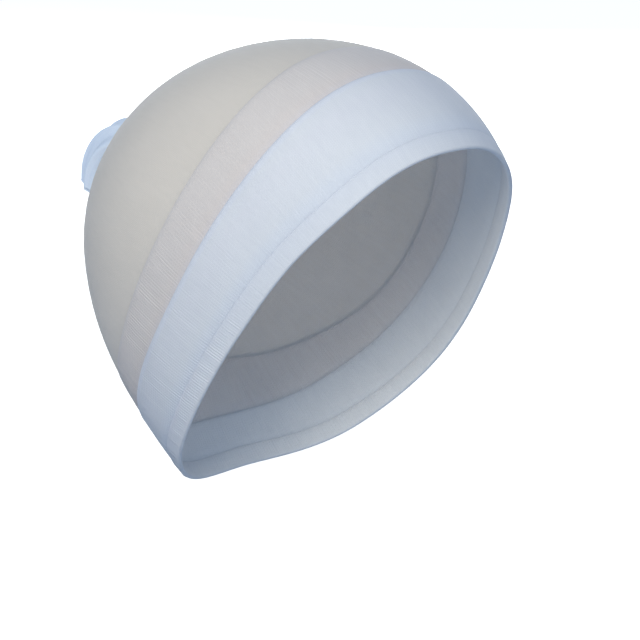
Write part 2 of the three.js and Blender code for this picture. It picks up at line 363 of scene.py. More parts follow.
def linear(red, green, blue):
    """A colour as a screen shows it, 0 to 255, as the light that a shader works with.

    The screen's curve is ((share + 0.055) / 1.055)^2.4, and a straight line near black.
    """
    share = np.array([red, green, blue]) / 255
    return tuple(np.where(share > 0.04045, ((share + 0.055) / 1.055) ** 2.4, share / 12.92))


def mixed(factor, first, second):
    """Colour that goes from first to second as factor goes from 0 to 1."""
    colours = [(*c, 1) if isinstance(c, tuple) else c for c in (first, second)]
    return factor.node("Mix", {"data_type": "RGBA"}, {0: factor, 6: colours[0], 7: colours[1]}, output=2)


# %% [markdown]
# ## The knit finish
# Plain knit shows on its face as columns of small V shapes, two slanting legs to a stitch, with a
# furrow between one wale and the next. The formula below is that V in one unit square of the UV map.
# It feeds a Bump node, and it also darkens the furrows a little, painted shade in them. Slow noise
# stretched along the wales gives the faint streaks of real nylon, where one loop is a little tighter
# than the next. An image of cloth would blur close up and repeat, and this doesn't.
#
# Such thin cloth lets light through, so a part of each face is a Translucent shader. The outside has
# the tone that the cap shows when worn. The inside is a bright white, partly the yarn's own colour
# without the worn tone and partly painted light for the light the empty cap lacks inside.

# %% Stitches and streaks
LEG_SLANT = 0.9  # how far a leg rises over half a wale, in courses
LEG_WAVE = 0.35  # share of the relief that comes and goes once a course
FINE_STREAK = (1.4, 9.0)  # wales wide and courses long, as the next three
WIDE_STREAK = (22.0, 40.0)
FRAY_STREAK = (0.7, 30.0)
CREASE = (7.0, 60.0)


def stitch_relief(wire):
    """Height of the knit from 0 to 1, and the wale and course numbers.

    side is 0 in the middle of a wale and 1 at its furrow, a leg is crowned across side, and each leg
    waves once a course, slanted by side.
    """
    place = wire.node("UVMap", {"uv_map": "stitches"})
    wale = place.node("SeparateXYZ", {}, {0: place}, output=0)
    course = place.node("SeparateXYZ", {}, {0: place}, output=1)
    side = abs((wale + 0.5).fraction() - 0.5) * 2
    leg = 1 - (side * 2 - 1) ** 2
    loop = ((course + side * LEG_SLANT) * (2 * np.pi)).sine()
    return leg * (1 - LEG_WAVE + loop * LEG_WAVE), wale, course


def streaks(wale, course, across, along, detail=2):
    """Noise from 0 to 1 that is across wales wide and along courses long."""
    at = wale.node("CombineXYZ", {}, {0: wale / across, 1: course / along})
    return wale.node("TexNoise", {"noise_dimensions": "2D"}, {"Vector": at, "Scale": 1.0, "Detail": detail})


# %% Knit
# painted light: a white brighter than the yarn on every inside face, for the light the empty cap lacks
INSIDE_PAINTED_LIGHT = linear(250, 250, 248)
FURROW_SHADE = 0.5  # how far a furrow is darkened towards its painted shade colour
WIDE_SHADE = 0.3
LOOP_RELIEF = 0.8  # how far loops stand in and out, as a share of the V
SIDE_RELIEF = 0.65  # share of the relief at the sides
PULL_RELIEF = 0.5  # less of it at the front, and more at the nape
GATHER_SHARE = 0.5  # how far creases reach along a piece
CREASE_LEVEL = 0.62  # noise below which a crease gets painted shade
CREASE_SHADE = 0.9
FRAY = 0.05  # how far a stop wanders from wale to wale, as a share of the piece
ROUGH = 0.74
ROUGH_CHANGE = 0.2
THROUGH = 0.3  # share of the light that passes into the cloth


def knit(name, yarn, furrow_shade, depth, streak=0.35, crowding=0.0, gathers=0.0, spans=(), sheen=0.1):
    """Material of plain knit. yarn is its colour on the crest, and furrow_shade between wales, painted shade
    of the furrows and partly the open knit there.

    depth is the relief in mm, and streak is how far the streaks reach towards furrow_shade. Up to the share
    crowding of the way across the piece the wales crowd together, and the relief grows only from
    nothing. gathers is the relief in mm of creases that bunch some ten wales and fade along the piece,
    and the low side of each crease is darkened towards furrow_shade, painted shade. spans are (share,
    colour) stops across the piece that the colour is multiplied by, and the stops are frayed from wale
    to wale. The attribute inner mixes in a bright white on the inside, partly the yarn's own colour and
    partly painted light for the light the empty cap lacks inside.
    """
    material, start = new_finish(name)
    relief, wale, course = stitch_relief(start)
    span = start.node("UVMap", {"uv_map": "span"})
    across = start.node("SeparateXYZ", {}, {0: span}, output=1)
    fine = streaks(wale, course, *FINE_STREAK)
    wide = streaks(wale, course, *WIDE_STREAK)
    furrow_shade_and_streaks = (1 - relief) * FURROW_SHADE + (fine - 0.5) * streak + (wide - 0.5) * WIDE_SHADE
    # painted shade: furrows between wales are darkened towards furrow_shade, partly the open knit there
    colour = mixed(furrow_shade_and_streaks.clamped(), yarn, furrow_shade)
    if spans:
        frayed = across + (streaks(wale, course, *FRAY_STREAK) - 0.5) * FRAY
        ramp = start.node("ValToRGB", {"stops": spans}, {0: frayed})
        inputs = {0: 1.0, 6: colour, 7: ramp}
        colour = start.node("Mix", {"data_type": "RGBA", "blend_type": "MULTIPLY"}, inputs, output=2)
    pull = start.math("COSINE", wale * (2 * np.pi / WALES))
    inner = start.node("Attribute", {"attribute_name": "inner"}, output=2)
    # painted light: inside faces are mixed to a white brighter than the yarn
    colour = mixed(inner, colour, mixed(furrow_shade_and_streaks.clamped(), INSIDE_PAINTED_LIGHT, yarn))
    height = (relief + (fine - 0.5) * LOOP_RELIEF) * (SIDE_RELIEF - pull * PULL_RELIEF)
    if crowding:
        height = height * (across / crowding).clamped()
    if gathers:
        crease = streaks(wale, course, *CREASE, detail=3)
        fading = (1 - across / GATHER_SHARE).clamped() ** 2
        height = height + (crease - 0.5) * fading * (gathers / depth)
        # painted shade: the low side of each crease is darkened towards furrow_shade
        colour = mixed((CREASE_LEVEL - crease).clamped() * fading * CREASE_SHADE, colour, furrow_shade)
    bump = start.node("Bump", {}, {"Strength": 1.0, "Distance": depth * MM, "Height": height})
    inputs = {"Base Color": colour, "Roughness": ROUGH + (fine - 0.5) * ROUGH_CHANGE, "Normal": bump}
    inputs.update({"Sheen Weight": sheen, "Sheen Roughness": 0.4, "Specular IOR Level": 0.3})
    cloth = start.node("BsdfPrincipled", {}, inputs)
    passing = start.node("BsdfTranslucent", {}, {"Color": (*yarn, 1)})
    surface = start.node("MixShader", {}, {0: THROUGH, 1: cloth, 2: passing})
    start.node("OutputMaterial", {}, {"Surface": surface})
    print(f"{name}: {len(material.node_tree.nodes)} nodes")
    return material


# %% [markdown]
# The welt and its hem are a cool white, because there the yarn lies double and close. The shadow band
# and the crown are sheer, and look greyer and warmer the further they are stretched. The frill isn't
# stretched at all, and its bunched yarn is the bluest. Small tints across each band change its colour
# towards its seams. The darker, bluer stops along the hem's stitch line and at the frill's root are
# painted shade, of that crease and of the tucked-in root.

# %% Knit of each piece
WHITE_YARN = linear(225, 227, 230)
# painted shade of the furrows between wales, partly the open knit there
WHITE_FURROW_SHADE = linear(202, 205, 213)
PLAIN = (1.0, 1.0, 1.0)
# painted shade: the hem is darker and bluer at its top, in the crease of the stitch line
hem_crease_shade = [(0, (0.98, 0.99, 1.02)), (1, PLAIN)]
welt_tints_and_crease_shade = [
    (0, (0.99, 1.0, 1.04)),
    (0.07, PLAIN),
    (0.3, (1.0, 0.99, 1.0)),
    (0.75, PLAIN),
    # painted shade: darker and bluer down to the hem's stitch line, in its crease
    (0.9, (0.97, 0.99, 1.02)),
    (1, (0.96, 0.98, 1.02)),
]
shadow_spans = [
    (0, (0.98, 0.99, 1.0)),
    (0.1, PLAIN),
    (0.6, PLAIN),
    (0.84, (1.0, 0.985, 0.98)),
    (1, (0.99, 0.99, 1.03)),
]
# painted shade: the frill is darker and bluer at its root, tucked in over the collar
frill_root_shade = [(0, (0.9, 0.92, 0.95)), (0.3, PLAIN), (1, PLAIN)]
# In each knit below the second colour is painted shade of the furrows between wales, partly the open knit
# there.
welt_knit = knit("welt knit", WHITE_YARN, WHITE_FURROW_SHADE, depth=0.15, spans=welt_tints_and_crease_shade)
hem_knit = knit("hem knit", WHITE_YARN, WHITE_FURROW_SHADE, depth=0.15, spans=hem_crease_shade)
shadow_knit = knit(
    "shadow knit", linear(223, 217, 213), linear(202, 195, 191), depth=0.18, spans=shadow_spans
)
crown_knit = knit(
    "sheer knit", linear(222, 215, 206), linear(204, 198, 189), depth=0.1,
    streak=0.3, crowding=0.6, gathers=1.2,
)
frill_knit = knit(
    "frill knit", linear(233, 240, 248), linear(208, 221, 240), depth=0.05,
    streak=0.9, sheen=0.3, spans=frill_root_shade,
)

# %% [markdown]
# ## Ribs
# Stretched knit stands up in fine ribs, one to a wale. They are real relief here, because they show
# at the edges and where light falls along the cap. At the front the pull is hardest and they are
# nearly flat, and they grow towards the nape. No two wales are quite alike, so each has its own
# height and swells in its own places.

# %% Ribs
SAMPLES_PER_WALE = 4
SLACK_RANGE = (0.55, 1.45)  # least and most height of a wale's rib
SWELL = 0.4
SWELL_LENGTH = 6  # mm along the wale for one radian of its swell
RIB_LEAST = 0.15  # share of the rib at the front
RIB_GROWTH = 1.25  # what the nape adds to it
RIB_POWER = 1.5
chance = np.random.default_rng(WALES)
slack = chance.uniform(*SLACK_RANGE, WALES)
drift = chance.uniform(0, 2 * np.pi, WALES)


def around_columns(count):
    """Angles of count columns round the form, and their wale numbers with one past the last."""
    return np.arange(count) * 360 / count, np.arange(count + 1) * WALES / count


def rib(around, along):
    """Relief of the wales: a cosine round the form, times slack, swell and the ease of the pull.

    swell is a slow sine along the wale, and ease grows with the power RIB_POWER of the way round
    from the front to the nape, which is half of 1 less the cosine.
    """
    turn = np.radians(around)[None, :]
    wale = np.round(around * WALES / 360).astype(int) % WALES
    swell = 1 + SWELL * np.sin(along / SWELL_LENGTH + drift[wale][None, :])
    ease = RIB_LEAST + RIB_GROWTH * ((1 - np.cos(turn)) / 2) ** RIB_POWER
    return np.cos(turn * WALES) * slack[wale][None, :] * swell * ease


print("slackest and tightest wale: %.2f and %.2f" % (slack.max(), slack.min()))

# %% [markdown]
# ## Bands of the knit
# The hem, the welt and the shadow band are the same thing at three widths: a strip of knit round the
# form. Each is a section, a short list of stations along the wale with a lift, that is the same on
# every wale but for the wale's own lengths. Where two strips meet, each runs on a little past the
# seam, one under the other as knitted and sewn layers do, so that no gap shows.
#
# Pulled on, the tube is drawn back at the sides, and its wales lean towards the nape there. So the
# points of a strip are read a little further round, the more the further down the wale they lie.
# The wales' numbers stay with their columns, and stitches and ribs lean with them.

# %% Ribbed strip
UNDERLAP = 0.6  # how far a strip runs past its seam, in mm
LEAN = 0.14  # degrees round for each mm past the crown, at the sides


def dense(table, steps):
    """Rows of a table with steps - 1 more between each two, on straight lines."""
    table = np.asarray(table, float)
    at = np.arange((len(table) - 1) * steps + 1) / steps
    return np.stack([np.interp(at, np.arange(len(table)), column) for column in table.T], axis=1)


def moved_round(grid, degrees):
    """Values of each row of a grid that many degrees further round, on straight lines between columns."""
    count = grid.shape[1]
    at = np.arange(count) + degrees * count / 360
    low = np.floor(at).astype(int)
    share = (at - low)[..., None]
    first = np.take_along_axis(grid, (low % count)[..., None], 1)
    second = np.take_along_axis(grid, ((low + 1) % count)[..., None], 1)
    return first * (1 - share) + second * share


def strip(name, section, seam, rib_depth, steps):
    """A closed strip of knit round the form, from one of the seams to the next.

    section rows are (share of the way between the seams, mm beyond it, lift, share of the rib). Its
    wales lean by the sine of the angle round, times LEAN and the length past the crown.
    """
    around, turns = around_columns(WALES * SAMPLES_PER_WALE)
    lengths = seams(around)
    begin, end = lengths[seam:seam + 2]
    share, beyond, lift, ribbed = dense(section, steps).T[:, :, None]
    along = begin + (end - begin) * share + beyond
    lean = LEAN * np.sin(np.radians(around)) * (along - lengths[0])
    course = (*wale_course(along, around), along[..., None])
    skin, normal, along = (moved_round(grid, lean) for grid in course)
    along = along[..., 0]
    lift = lift + rib_depth / 2 * ribbed * rib(around, along)
    points = skin + normal * lift[..., None]
    return grid_mesh(name, points, turns, along / COURSE_PITCH, share.ravel())


# %% [markdown]
# The shadow band is a single layer of closer stitches between the crown and the welt. It rises from
# the crown in a small soft step and runs in under the welt.

# %% Shadow band
CROWN_WALL = 1.0
SHADOW_WALL = 1.2
BOLD_RIB_DEPTH = 0.21  # crest over furrow, where no second layer evens the wales out
shadow_section = [
    (0, -UNDERLAP, 0.3, 0),
    (0, -UNDERLAP, 0.8, 0),
    (0, -0.5, 0.88, 0),
    (0, 0.2, 1.1, 0.2),
    (0, 0.9, SHADOW_WALL, 0.7),
    (0.2, 0, SHADOW_WALL, 1),
    (0.6, 0, SHADOW_WALL, 1),
    (1, 0, SHADOW_WALL, 1),
    (1, UNDERLAP, SHADOW_WALL - 0.1, 0.5),
    (1, UNDERLAP, 0.3, 0),
    (1, 0, 0, 0.3),
    (0.5, 0, 0, 0.5),
    (0, UNDERLAP, 0, 0.3),
]
shadow_cloth = strip("shadow_cloth", shadow_section, 0, BOLD_RIB_DEPTH, steps=2)

# %% [markdown]
# The welt is the firm, opaque band. Its doubled layers make a rounded step at the top, and at the
# bottom it sinks towards the stitches of the hem, where its ribs are drawn together.

# %% Welt
WELT_WALL = 1.8
RIB_DEPTH = 0.15  # crest over furrow
welt_section = [
    (0, -UNDERLAP, 0.3, 0),
    (0, -UNDERLAP, 0.8, 0),
    (0, -0.5, 1.0, 0),
    (0, -0.1, 1.4, 0.1),
    (0, 0.7, 1.75, 0.5),
    (0, 1.8, WELT_WALL + 0.04, 1),
    (0.2, 0, WELT_WALL, 1),
    (0.4, 0, WELT_WALL, 1),
    (0.6, 0, WELT_WALL, 1),
    (0.8, 0, WELT_WALL, 1),
    (0.93, 0, WELT_WALL - 0.06, 1.8),
    (1, -0.6, WELT_WALL - 0.12, 2),
    (1, 0, WELT_WALL - 0.24, 1),
    (1, UNDERLAP, 1.0, 0),
    (1, UNDERLAP, 0.3, 0),
    (1, 0, 0, 0.3),
    (0.5, 0, 0, 0.5),
    (0, UNDERLAP, 0, 0.3),
]
welt_cloth = strip("welt_cloth", welt_section, 1, RIB_DEPTH, steps=2)

# %% [markdown]
# ## The hem
# The rim is the fold of the doubled welt. A line of stitches 8.5 mm in pulls the layers together, so
# the outside dips there, swells, and turns round the fold in half a circle.

# %% Hem
HEM_WALL = 1.9
HEM_DIP = 0.16
NOSE_STEPS = 8
NOSE_TURN = 75  # degrees that the fold turns to each side of the rim


def hem_section():
    """Rows of the hem: up from the stitch line's dip, over the swell, round the fold and back inside.

    The fold is nearly a half circle of radius half the wall, centred that far in from the rim.
    """
    radius = HEM_WALL / 2
    turn = np.radians(np.linspace(NOSE_TURN, -NOSE_TURN, NOSE_STEPS))
    nose = [(1, radius * (np.cos(t) - 1), radius * (1 + np.sin(t)), max(np.sin(t), 0)) for t in turn]
    outside = [
        (0, -UNDERLAP / 2, 0.3, 0),
        (0, -UNDERLAP / 2, 0.9, 0),
        (0, -0.25, 1.2, 0),
        (0, 0.2, 1.62, 0.6),
        (0, 0.8, HEM_WALL - HEM_DIP, 1),
        (0.25, 0, HEM_WALL - 0.1, 1.6),
        (0.4, 0, HEM_WALL, 1.8),
        (0.65, 0, HEM_WALL - 0.1, 1.8),
        (0.85, 0, HEM_WALL, 1.4),
    ]
    inside = [(0.8, 0, 0, 0.3), (0.4, 0, 0, 0.5), (0, UNDERLAP, 0, 0.3)]
    return outside + nose + inside


hem_cloth = strip("hem_cloth", hem_section(), 2, BOLD_RIB_DEPTH, steps=1)

# %% [markdown]
# ## The crown and its gathered neck
# The crown is one sheer skin. At the knot the whole width of the tube is pulled into a neck about
# 10 mm thick, so pleats run out from it over the skin and die away. The section goes from the middle
# of the inside out to the seam, back along the outside, up the neck, in under the thread and out
# again at the collar. Its rows lie close together at the seam, where a smooth curve through rows far
# apart would swing out past it.

# %% Crown section
GATHER_REACH = 38
INSIDE_REACH = 30
NECK_RADIUS = 5.2
NECK_HEIGHT = 5.2
WAIST_SHARE = 0.85
COLLAR_SHARE = 1.1
COLLAR_HEIGHT = 1.8
THREAD_RADIUS = 0.8
THREAD_CLEARANCE = 0.3
THREAD_SEAT = 2 * (THREAD_RADIUS + THREAD_CLEARANCE)
NECK_TOP = CROWN_WALL + NECK_HEIGHT + THREAD_SEAT + COLLAR_HEIGHT
neck_stations = [  # out from the neck, up the neck and fold, as shares
    (1, 0, 0),
    (0.7, 0, 0.15),
    (0.42, 0.02, 0.4),
    (0.22, 0.07, 0.75),
    (0.1, 0.18, 1),
    (0.03, 0.38, 1),
    (0, 0.66, 0.8),
]


def crown_section():
    """Rows of the crown: length from the knot as a share of the crown and in mm, lift and fold."""
    waist = NECK_RADIUS * WAIST_SHARE
    collar = NECK_RADIUS * COLLAR_SHARE
    tie = CROWN_WALL + NECK_HEIGHT
    inside = [(0, 2, 0, 0.1), (0, 7, 0, 0.35), (0, 16, 0, 0.3), (0, INSIDE_REACH, 0, 0.1)]
    inside += [(share, INSIDE_REACH * (1 - share), 0, 0) for share in (0.25, 0.5, 0.75)]
    edge = [(1, -near, 0, 0) for near in (8, 2.5, 0.5)]
    edge += [(1, UNDERLAP + 0.1, 0, 0), (1, UNDERLAP, 0.3, 0), (1, UNDERLAP, 0.75, 0)]
    edge += [(1, -near, CROWN_WALL, 0) for near in (0, 1.5, 5)]
    back = [(share, GATHER_REACH * (1 - share), CROWN_WALL, 0) for share in (0.85, 0.7, 0.5, 0.3, 0.15)]
    neck = [
        (0, NECK_RADIUS + (GATHER_REACH - NECK_RADIUS) * out, CROWN_WALL + NECK_HEIGHT * up, fold)
        for out, up, fold in neck_stations
    ]
    seat = [
        (0, waist, tie, 0.25),
        (0, waist, tie + THREAD_SEAT / 2, 0.2),
        (0, waist, tie + THREAD_SEAT, 0.25),
        (0, collar, NECK_TOP - COLLAR_HEIGHT * 0.6, 0.5),
        (0, collar, NECK_TOP, 0.6),
        (0, NECK_RADIUS * 0.5, NECK_TOP, 0.2),
    ]
    return inside + edge + back + neck + seat


print("rows of the crown's section:", len(crown_section()))

# %% [markdown]
# Pleats are a cosine round the neck that wanders a little, and finer folds ride on them, because
# gathers are never all alike. They push the cloth along the section's own normal, so the same folds
# run down the neck and out over the skin.

# %% Crown
PLEATS = 16
PLEAT_DEPTH = 1.1
FINE_FOLDS = (41, 73)  # numbers of finer folds round the neck
CROWN_COLUMNS = 800
CROWN_STEPS = 3
MIDDLE_GAP = 0.5  # least length of a row from the knot, in mm
FOLDED_GAP = 0.3  # the same once the folds are in
TINY = 1e-9


def gathers(around):
    """Pleats round the neck, from -1 to 1: main folds that wander, and finer folds on them.

    It is 0.7 cos(PLEATS a + w) + 0.25 cos(41 a + 2 w) + 0.15 cos(73 a + 1.3), and the wander w is
    0.5 sin(3 a + 1) + 0.35 sin(5 a + 2.2).
    """
    turn = np.radians(around)
    wander = 0.5 * np.sin(3 * turn + 1) + 0.35 * np.sin(5 * turn + 2.2)
    main = np.cos(PLEATS * turn + wander)
    finer, finest = (number * turn for number in FINE_FOLDS)
    return 0.7 * main + 0.25 * np.cos(finer + 2 * wander) + 0.15 * np.cos(finest + 1.3)


def gathered_crown():
    """The crown's mesh: the section on a smooth curve, with the gathers along its own normal.

    The normal at a row is the step from the row before to the row after, turned a quarter.
    """
    around, turns = around_columns(CROWN_COLUMNS)
    section = np.array(crown_section())
    at = np.arange((len(section) - 1) * CROWN_STEPS + 1) / CROWN_STEPS
    share, beyond, lift, fold = curve_through(section, at).T[:, :, None]
    along = np.maximum(seams(around)[0] * share + beyond, MIDDLE_GAP)
    lift = np.maximum(lift, 0)
    out = np.roll(along, 1, 0) - np.roll(along, -1, 0)
    rise = np.roll(lift, -1, 0) - np.roll(lift, 1, 0)
    size = np.hypot(rise, out) + TINY
    wave = PLEAT_DEPTH / 2 * fold * gathers(around)[None, :]
    along = np.maximum(along - wave * rise / size, FOLDED_GAP)
    lift = lift + wave * out / size
    points = wale_point(along, around, lift)
    end_lifts = np.array([[0.0], [NECK_TOP]])
    ends = wale_point(np.zeros((2, 1)), np.zeros(1), end_lifts)[:, 0]
    return grid_mesh("crown_cloth", points, turns, along / COURSE_PITCH, along.mean(1) / CROWN_LENGTH, ends)


crown_cloth = gathered_crown()

# %% [markdown]
# ## The tie
# The neck is wound with a doubled sewing thread, drawn tight and tucked in under its own turns. It is
# one tube that follows a helix in the seat of the neck, a circle swept along a path. Two bulges that
# wind along the tube make it read as two strands twisted together.

# %% Tie
WINDS = 3
STRAND_RADIUS = 0.42
STRAND_GAP = 0.12  # between the tube and the neck
TUCK_DEPTH = 0.5  # how far the two ends dive in
TUCK_POWER = 12
PLY_DEPTH = 0.12  # of a bulge, as a share of the radius
PLY_TWIST = 14  # bulges passed in one turn round the neck
WIND_POINTS = 64
STRAND_SIDES = 10
KNOT_POINT = skin_point(np.array(0.0), np.array(0.0))
NECK_LINE = skin_normal(KNOT_POINT)
NECK_ANGLE = np.degrees(np.arctan2(NECK_LINE[2], NECK_LINE[1]))


def winding():
    """The thread as a helix round the neck's waist, that climbs the seat from end to end.

    The tube's rings lie in the plane of the radius and the neck's line, and their radius is
    1 + PLY_DEPTH cos(2 side - PLY_TWIST turn) times the strand's.
    """
    upwards = np.cross(NECK_LINE, CAP_RIGHT)
    turn = np.linspace(0, 2 * np.pi * WINDS, WIND_POINTS * WINDS)
    share = turn / turn[-1]
    tuck = TUCK_DEPTH * (np.abs(share - 0.5) * 2) ** TUCK_POWER
    radius = NECK_RADIUS * WAIST_SHARE + STRAND_RADIUS + STRAND_GAP - tuck
    radial = np.cos(turn)[:, None] * upwards + np.sin(turn)[:, None] * CAP_RIGHT
    seat = CROWN_WALL + NECK_HEIGHT + STRAND_RADIUS + (THREAD_SEAT - 2 * STRAND_RADIUS) * share
    side = np.linspace(0, 2 * np.pi, STRAND_SIDES, endpoint=False)
    ring = radial[:, None, :] * np.cos(side)[None, :, None] + NECK_LINE * np.sin(side)[None, :, None]
    centre = KNOT_POINT + radial * radius[:, None] + NECK_LINE * seat[:, None]
    ply = 1 + PLY_DEPTH * np.cos(side[None, :] * 2 - turn[:, None] * PLY_TWIST)
    points = centre[:, None, :] + ring * (STRAND_RADIUS * ply)[..., None]
    turns = np.arange(STRAND_SIDES + 1) / STRAND_SIDES
    runs = np.broadcast_to((turn * radius)[:, None], points.shape[:2])
    return grid_mesh("tie_thread", points, turns, runs, share, centre[[0, -1]])


tie_thread = winding()

# %% [markdown]
# ## The frill
# Beyond the tie the cut end of the tube springs open again, no longer stretched, into a small ruffled
# bell that sinks under its own weight. A ring of changing radius is carried along a bending middle
# line, and waves round the ring grow towards the lip. The root is tucked in over the collar, and the
# cut edge of the knit rolls up, as it does on any stocking. A second, smaller layer inside is the far
# side of the bunched tube.

# %% Frill
FRILL_LENGTH = 31
FRILL_RADIUS = 15
FRILL_SAG_ANGLE = -46
LIP_ANGLE = -85
FRILL_WALL = 0.8
FRILL_ROWS = 49
RUFFLE_DEPTH = 3.4
RUFFLE_CURL = 0.6
LIP_WANDER = 0.008  # how far the lip's edge runs in and out, as a share of the length
FRILL_HOLLOW_START = 0.25
BEAD_RADIUS = 0.6
BEAD_STEPS = 9
BEAD_TURN = 145  # degrees that the rolled lip turns to each side
ROOT_SINK = 0.4  # how far the root starts below the neck's top
ROOT_OVERLAP = 1.5
ROOT_FLARE = 0.45
FLARE_POWER = 30
frill_stations = np.array([  # along, out and ruffle, as shares
    (0, 0, 0.05),
    (0.14, 0.17, 0.12),
    (0.3, 0.45, 0.3),
    (0.48, 0.7, 0.55),
    (0.68, 0.91, 0.8),
    (0.86, 1, 0.95),
    (1, 0.96, 1),
])


def ruffles(turn, out, ruffle, folds):
    """Waves round the frill, from about -1 to 1: one period a fold, and finer folds towards the lip.

    It is cos(n a + 0.5 out + w out) + ruffle (0.12 cos(3 n a + 1.3) + 0.04 cos(5 n a + 0.4)) for n
    folds, and the wander w is 0.3 sin(a) sin(2 a + 0.7).
    """
    wander = 0.3 * np.sin(turn) * np.sin(2 * turn + 0.7)
    finer = 0.12 * np.cos(3 * folds * turn + 1.3) + 0.04 * np.cos(5 * folds * turn + 0.4)
    return np.cos(folds * turn + 0.5 * out + wander * out) + ruffle * finer


def frill_layer(name, start, reach, root, spread, folds, columns):
    """One layer of the frill: rings of radius out + wave round a middle line that sinks steadily.

    start and reach are where the layer begins and ends along the middle line, and root and spread
    are shares of the radius at each. Rings turn from the neck's line to the lip's, and lean back
    where the wave stands out. The inside is the same, a wall further in, and between them the cut
    edge is rolled into a bead, most of a circle round the lip.
    """
    turn = np.arange(columns) * 2 * np.pi / columns
    outside = curve_through(frill_stations, np.linspace(0, len(frill_stations) - 1, FRILL_ROWS))
    inside = outside[outside[:, 0] > FRILL_HOLLOW_START][::-1]
    bead = np.radians(np.linspace(-BEAD_TURN, BEAD_TURN, BEAD_STEPS))
    profile = np.concatenate([outside[:-1], np.repeat(outside[-1:], BEAD_STEPS, axis=0), inside[1:]])
    inset = np.full(len(profile), FRILL_WALL)
    inset[:FRILL_ROWS] = 0
    beyond = np.zeros(len(profile))
    bead_rows = slice(FRILL_ROWS - 1, FRILL_ROWS - 1 + BEAD_STEPS)
    inset[bead_rows] = FRILL_WALL / 2 + BEAD_RADIUS * np.sin(bead)
    beyond[bead_rows] = BEAD_RADIUS * np.cos(bead)
    along, out, ruffle = profile.T[:, :, None]
    wave = RUFFLE_DEPTH * spread * ruffle * ruffles(turn, out, ruffle, folds) / 2
    edge = along + LIP_WANDER * along**6 * np.cos(2 * turn + 2)
    step = start + (reach - start) * edge
    line = rear_direction(NECK_ANGLE + (LIP_ANGLE - NECK_ANGLE) * step)
    sag = rear_direction(NECK_ANGLE + (FRILL_SAG_ANGLE - NECK_ANGLE) * step)
    first = KNOT_POINT + NECK_LINE * (NECK_TOP - ROOT_SINK)
    tuck = (1 - along) ** TUCK_POWER
    centre = first + sag * FRILL_LENGTH * step[..., None] + line * beyond[:, None, None]
    centre = centre - NECK_LINE * (ROOT_OVERLAP * root * tuck)[..., None]
    upwards = np.cross(line, CAP_RIGHT)
    outwards = upwards * np.cos(turn)[None, :, None] + CAP_RIGHT * np.sin(turn)[None, :, None]
    root_radius = NECK_RADIUS * COLLAR_SHARE * root + ROOT_FLARE
    radius = root_radius + (FRILL_RADIUS * spread - root_radius) * out + wave - inset[:, None]
    radius = radius - 2 * ROOT_FLARE * (1 - along) ** FLARE_POWER
    points = centre + outwards * radius[..., None] - line * (RUFFLE_CURL * wave)[..., None]
    turns = np.arange(columns + 1) * WALES / columns
    runs = np.broadcast_to((along * FRILL_LENGTH + beyond[:, None]) / COURSE_PITCH, points.shape[:2])
    ends = np.stack([centre[0].mean(0), centre[-1].mean(0)])
    return grid_mesh(name, points, turns, runs, along.ravel(), ends)


frill_cloth = frill_layer("frill_cloth", 0.0, 1.0, root=1.0, spread=1.0, folds=9, columns=1080)
frill_inner = frill_layer("frill_inner", 0.08, 0.85, root=0.6, spread=0.55, folds=5, columns=600)

# %% [markdown]
# ## Thread finish
# The tie is twisted yarn: bands that slant round the strand, with a satin gloss. They follow the
# tube's own UV map, so they wind with it, which a pattern in space wouldn't do.

# %% Thread
PLY_BANDS = 2.2  # bands for each mm along the thread
PLY_SLANT = 2  # bands crossed in one turn round it


def thread_finish():
    """Two-ply yarn: a wave that slants round the strand in relief, with painted shade in the grooves between
    plies.
    """
    material, start = new_finish("thread")
    place = start.node("UVMap", {"uv_map": "stitches"})
    round_it = place.node("SeparateXYZ", {}, {0: place}, output=0)
    along = place.node("SeparateXYZ", {}, {0: place}, output=1)
    ply = ((along * PLY_BANDS + round_it * PLY_SLANT) * (2 * np.pi)).sine() * 0.5 + 0.5
    # painted shade: darker and bluer where the ply is low, in the grooves between the strands
    colour = mixed(ply, linear(196, 206, 220), linear(238, 242, 247))
    bump = start.node("Bump", {}, {"Distance": 0.1 * MM, "Height": ply})
    inputs = {"Base Color": colour, "Roughness": 0.5 + ply * 0.1, "Normal": bump, "Sheen Weight": 0.2}
    start.node("OutputMaterial", {}, {"Surface": start.node("BsdfPrincipled", {}, inputs)})
    print(f"thread: {len(material.node_tree.nodes)} nodes")
    return material


thread = thread_finish()

# %% [markdown]
# ## Joining the frame
# Each piece rides on the one body and stands for its node, whose solid is hidden. The area of each
# piece's cloth as it is stretched here is printed.

# %% Rides and cloth areas
pieces = [
    (hem_cloth, "rim_hem", "hem_knit", hem_knit),
    (welt_cloth, "welt_band", "welt_knit", welt_knit),
    (shadow_cloth, "shadow_band", "shadow_knit", shadow_knit),
    (crown_cloth, "crown", "sheer_knit", crown_knit),
    (tie_thread, "toe_tie", "thread", thread),
    (frill_cloth, "toe_frill", "frill_knit", frill_knit),
    (frill_inner, "toe_frill", "frill_knit", frill_knit),
]
for piece, node, slot, finish in pieces:
    piece.data.materials.append(finish)
    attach(piece, "root")
    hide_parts(node)


def surface_area(piece):
    """Area of a mesh in square metres, the sum of its faces' areas."""
    areas = np.zeros(len(piece.data.polygons), np.float32)
    piece.data.polygons.foreach_get("area", areas)
    return float(areas.sum())


for piece, _, _, _ in pieces:
    print(f"{piece.name}: {surface_area(piece) / 2 * 1e4:.0f} square cm of cloth")

# %% [markdown]
# ## Camera
# The picture is taken from the cap's right, a little above, from a metre away with a long lens. The
# camera is turned, not shifted, until the middle of the form falls on its place in the picture, so
# that it also frames the cap when it is moved to another side.

# %% Camera
IMAGE_SIZE = 640
AZIMUTH = -44.0
ELEVATION = 15.13
ROLL = 1.5
DISTANCE = 1000
FOCAL_PIXELS = 2518
MIDDLE_PIXEL = np.array([318.2, 272.0])
SENSOR = 36
FAR_CLIP = 100  # metres


